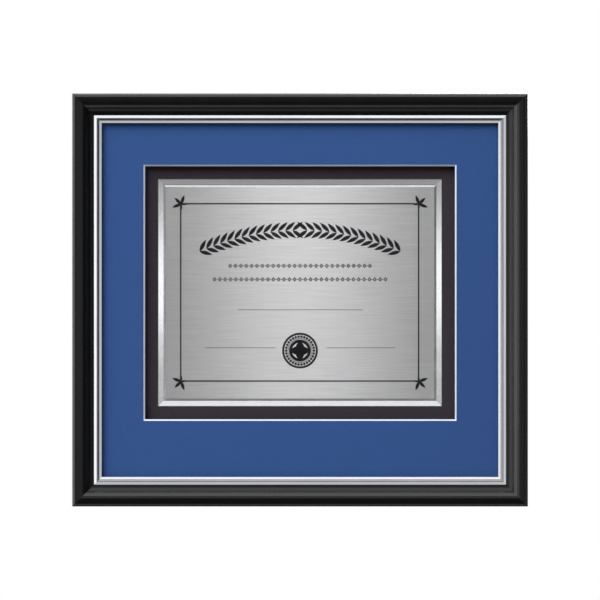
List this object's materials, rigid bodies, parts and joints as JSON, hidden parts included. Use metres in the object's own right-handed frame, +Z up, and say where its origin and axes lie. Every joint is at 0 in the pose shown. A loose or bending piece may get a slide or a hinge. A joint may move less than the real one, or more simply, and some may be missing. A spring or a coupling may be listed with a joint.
{
  "type": "certificate frame",
  "caption": "Wall-hung certificate frame: mitred black rails with a silver slip round a bevelled blue mat and an engraved metal plate, turn buttons and ring hangers behind.",
  "frame": {"origin": "centre of the whole frame's box, from the moulding's crest to the bumpers' faces", "axes": "+X to the right as seen from the front, +Y from the viewer to the wall, +Z up"},
  "size_m": [0.4064, 0.0298, 0.3682],
  "materials": {
    "black_lacquer": "gloss black lacquer",
    "silver_leaf": "silver leaf on wood",
    "zinc_steel": "zinc plated",
    "clear_glazing": "clear, low glare",
    "blue_mat": "matt blue paper on a white core",
    "foam_board": "white foam-cored board",
    "black_board": "matt black paper",
    "foam_tape": "adhesive foam",
    "polished_aluminium": "polished",
    "brushed_aluminium": "brushed across, engraved",
    "hardboard": "smooth brown hardboard",
    "bumper_rubber": "matt black"
  },
  "bodies": {
    "frame": {"top_rail": "black_lacquer", "top_slip": "silver_leaf", "bottom_rail": "black_lacquer", "bottom_slip": "silver_leaf", "left_rail": "black_lacquer", "left_slip": "silver_leaf", "right_rail": "black_lacquer", "right_slip": "silver_leaf", "corner_v_nails": "zinc_steel", "glazing_sheet": "clear_glazing", "window_mat": "blue_mat", "top_spacer": "foam_board", "bottom_spacer": "foam_board", "left_spacer": "foam_board", "right_spacer": "foam_board", "mount_board": "black_board", "plate_tape": "foam_tape", "border_plate": "polished_aluminium", "certificate_plate": "brushed_aluminium", "backing_board": "hardboard", "left_strap_hanger": "zinc_steel", "right_strap_hanger": "zinc_steel", "hanger_screws": "zinc_steel", "wall_bumpers": "bumper_rubber", "turn_button_screws": "zinc_steel"},
    "turn_button_top_left": {"turn_button_top_left": "zinc_steel"},
    "turn_button_top_right": {"turn_button_top_right": "zinc_steel"},
    "turn_button_bottom_left": {"turn_button_bottom_left": "zinc_steel"},
    "turn_button_bottom_right": {"turn_button_bottom_right": "zinc_steel"},
    "turn_button_left_upper": {"turn_button_left_upper": "zinc_steel"},
    "turn_button_left_lower": {"turn_button_left_lower": "zinc_steel"},
    "turn_button_right_upper": {"turn_button_right_upper": "zinc_steel"},
    "turn_button_right_lower": {"turn_button_right_lower": "zinc_steel"},
    "left_hanging_ring": {"left_hanging_ring": "zinc_steel"},
    "right_hanging_ring": {"right_hanging_ring": "zinc_steel"}
  },
  "joints": [
    {"name": "button_turn_top_left", "type": "hinge", "parent": "frame", "child": "turn_button_top_left", "pos_m": [-0.1132, 0.0106, 0.17215], "axis": [0, 1, 0], "continuous": true},
    {"name": "button_turn_top_right", "type": "hinge", "parent": "frame", "child": "turn_button_top_right", "pos_m": [0.1132, 0.0106, 0.17215], "axis": [0, 1, 0], "continuous": true},
    {"name": "button_turn_bottom_left", "type": "hinge", "parent": "frame", "child": "turn_button_bottom_left", "pos_m": [-0.1132, 0.0106, -0.17215], "axis": [0, 1, 0], "continuous": true},
    {"name": "button_turn_bottom_right", "type": "hinge", "parent": "frame", "child": "turn_button_bottom_right", "pos_m": [0.1132, 0.0106, -0.17215], "axis": [0, 1, 0], "continuous": true},
    {"name": "button_turn_left_upper", "type": "hinge", "parent": "frame", "child": "turn_button_left_upper", "pos_m": [-0.1912, 0.0106, 0.11215], "axis": [0, 1, 0], "continuous": true},
    {"name": "button_turn_left_lower", "type": "hinge", "parent": "frame", "child": "turn_button_left_lower", "pos_m": [-0.1912, 0.0106, -0.11215], "axis": [0, 1, 0], "continuous": true},
    {"name": "button_turn_right_upper", "type": "hinge", "parent": "frame", "child": "turn_button_right_upper", "pos_m": [0.1912, 0.0106, 0.11215], "axis": [0, 1, 0], "continuous": true},
    {"name": "button_turn_right_lower", "type": "hinge", "parent": "frame", "child": "turn_button_right_lower", "pos_m": [0.1912, 0.0106, -0.11215], "axis": [0, 1, 0], "continuous": true},
    {"name": "left_ring_swing", "type": "hinge", "parent": "frame", "child": "left_hanging_ring", "pos_m": [-0.1857, 0.0121, 0.06215], "axis": [0, 0, 1], "range_deg": [0, 175]},
    {"name": "right_ring_swing", "type": "hinge", "parent": "frame", "child": "right_hanging_ring", "pos_m": [0.1857, 0.0121, 0.06215], "axis": [0, 0, -1], "range_deg": [0, 175]}
  ]
}
